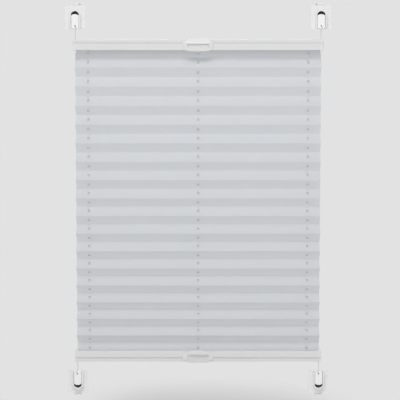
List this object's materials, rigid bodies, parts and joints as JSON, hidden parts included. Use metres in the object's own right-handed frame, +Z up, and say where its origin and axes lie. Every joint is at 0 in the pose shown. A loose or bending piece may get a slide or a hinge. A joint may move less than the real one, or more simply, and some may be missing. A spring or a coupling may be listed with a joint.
{
  "type": "pleated blind",
  "caption": "Pleated fabric blind stretched on taut cords between clamp brackets, with a movable top rail and bottom rail, clip-on handles and end caps.",
  "frame": {"origin": "middle of the blind in the plane of its taut cords, midway between the rails and between the side cords", "axes": "+X to the right seen from the room, +Y towards the window, +Z up along the cords"},
  "size_m": [0.4276, 0.0584, 0.6404],
  "materials": {
    "rail": "satin white powder coat",
    "plastic": "satin white moulded plastic",
    "strap": "white painted steel strip",
    "steel": "zinc plated",
    "pad": "soft matt rubber",
    "fabric": "woven polyester, pleated, off-white",
    "cord": "braided white cord"
  },
  "bodies": {
    "root": {"bracket_top_left": "plastic", "bracket_top_right": "plastic", "bracket_bottom_left": "plastic", "bracket_bottom_right": "plastic", "tension_shoe_top_left": "plastic", "tension_shoe_top_right": "plastic", "tension_shoe_bottom_left": "plastic", "tension_shoe_bottom_right": "plastic", "hook_strap_top_left": "strap", "hook_strap_top_right": "strap", "hook_strap_bottom_left": "strap", "hook_strap_bottom_right": "strap", "clamp_nut_top_left": "steel", "clamp_nut_top_right": "steel", "clamp_nut_bottom_left": "steel", "clamp_nut_bottom_right": "steel", "cord_top_left": "cord", "cord_top_right": "cord", "cord_bottom_left": "cord", "cord_bottom_right": "cord"},
    "top_rail": {"top_rail": "rail", "end_cap_top_left": "plastic", "end_cap_top_right": "plastic", "handle_top": "plastic", "top_fabric_strip": "plastic", "cord_guide_top_1": "plastic", "cord_guide_top_2": "plastic", "cord_guide_top_3": "plastic", "cord_run_top_left": "cord", "cord_run_top_right": "cord", "cord_knot_top": "cord", "pleated_fabric": "fabric", "cord_column_left": "cord", "cord_column_middle": "cord", "cord_column_right": "cord"},
    "bottom_rail": {"bottom_rail": "rail", "end_cap_bottom_left": "plastic", "end_cap_bottom_right": "plastic", "handle_bottom": "plastic", "bottom_fabric_strip": "plastic", "cord_guide_bottom_1": "plastic", "cord_guide_bottom_2": "plastic", "cord_guide_bottom_3": "plastic", "cord_run_bottom_left": "cord", "cord_run_bottom_right": "cord", "tension_spring_left": "steel", "tension_spring_right": "steel", "cord_knot_bottom": "cord"},
    "clamp_pad_top_left": {"clamp_pad_top_left": "pad"},
    "clamp_screw_top_left": {"clamp_screw_top_left": "steel"},
    "clamp_pad_top_right": {"clamp_pad_top_right": "pad"},
    "clamp_screw_top_right": {"clamp_screw_top_right": "steel"},
    "clamp_pad_bottom_left": {"clamp_pad_bottom_left": "pad"},
    "clamp_screw_bottom_left": {"clamp_screw_bottom_left": "steel"},
    "clamp_pad_bottom_right": {"clamp_pad_bottom_right": "pad"},
    "clamp_screw_bottom_right": {"clamp_screw_bottom_right": "steel"}
  },
  "joints": [
    {"name": "top_rail_slide", "type": "slide", "parent": "root", "child": "top_rail", "axis": [0, 0, 1], "range_m": [-0.45, 0.0155], "deforming": ["pleated_fabric", "cord_column_left", "cord_column_middle", "cord_column_right", "cord_top_left", "cord_top_right"]},
    {"name": "bottom_rail_slide", "type": "slide", "parent": "root", "child": "bottom_rail", "axis": [0, 0, 1], "range_m": [-0.0155, 0.45], "deforming": ["pleated_fabric", "cord_column_left", "cord_column_middle", "cord_column_right", "cord_bottom_left", "cord_bottom_right"]},
    {"name": "clamp_pad_slide_top_left", "type": "slide", "parent": "root", "child": "clamp_pad_top_left", "axis": [0, -1, 0], "range_m": [-0.0027, 0.006]},
    {"name": "clamp_screw_turn_top_left", "type": "hinge", "parent": "clamp_pad_top_left", "child": "clamp_screw_top_left", "pos_m": [-0.1975, 0.033, 0.307], "axis": [0, -1, 0], "range_deg": [-1217, 2702]},
    {"name": "clamp_pad_slide_top_right", "type": "slide", "parent": "root", "child": "clamp_pad_top_right", "axis": [0, -1, 0], "range_m": [-0.0027, 0.006]},
    {"name": "clamp_screw_turn_top_right", "type": "hinge", "parent": "clamp_pad_top_right", "child": "clamp_screw_top_right", "pos_m": [0.1975, 0.033, 0.307], "axis": [0, -1, 0], "range_deg": [-1217, 2702]},
    {"name": "clamp_pad_slide_bottom_left", "type": "slide", "parent": "root", "child": "clamp_pad_bottom_left", "axis": [0, -1, 0], "range_m": [-0.0027, 0.006]},
    {"name": "clamp_screw_turn_bottom_left", "type": "hinge", "parent": "clamp_pad_bottom_left", "child": "clamp_screw_bottom_left", "pos_m": [-0.1975, 0.033, -0.307], "axis": [0, -1, 0], "range_deg": [-1217, 2702]},
    {"name": "clamp_pad_slide_bottom_right", "type": "slide", "parent": "root", "child": "clamp_pad_bottom_right", "axis": [0, -1, 0], "range_m": [-0.0027, 0.006]},
    {"name": "clamp_screw_turn_bottom_right", "type": "hinge", "parent": "clamp_pad_bottom_right", "child": "clamp_screw_bottom_right", "pos_m": [0.1975, 0.033, -0.307], "axis": [0, -1, 0], "range_deg": [-1217, 2702]}
  ],
  "couplings": [
    {"joint": "clamp_screw_turn_top_left", "follows": "clamp_pad_slide_top_left", "rad_per_m": 7854},
    {"joint": "clamp_screw_turn_top_right", "follows": "clamp_pad_slide_top_right", "rad_per_m": 7854},
    {"joint": "clamp_screw_turn_bottom_left", "follows": "clamp_pad_slide_bottom_left", "rad_per_m": 7854},
    {"joint": "clamp_screw_turn_bottom_right", "follows": "clamp_pad_slide_bottom_right", "rad_per_m": 7854}
  ]
}
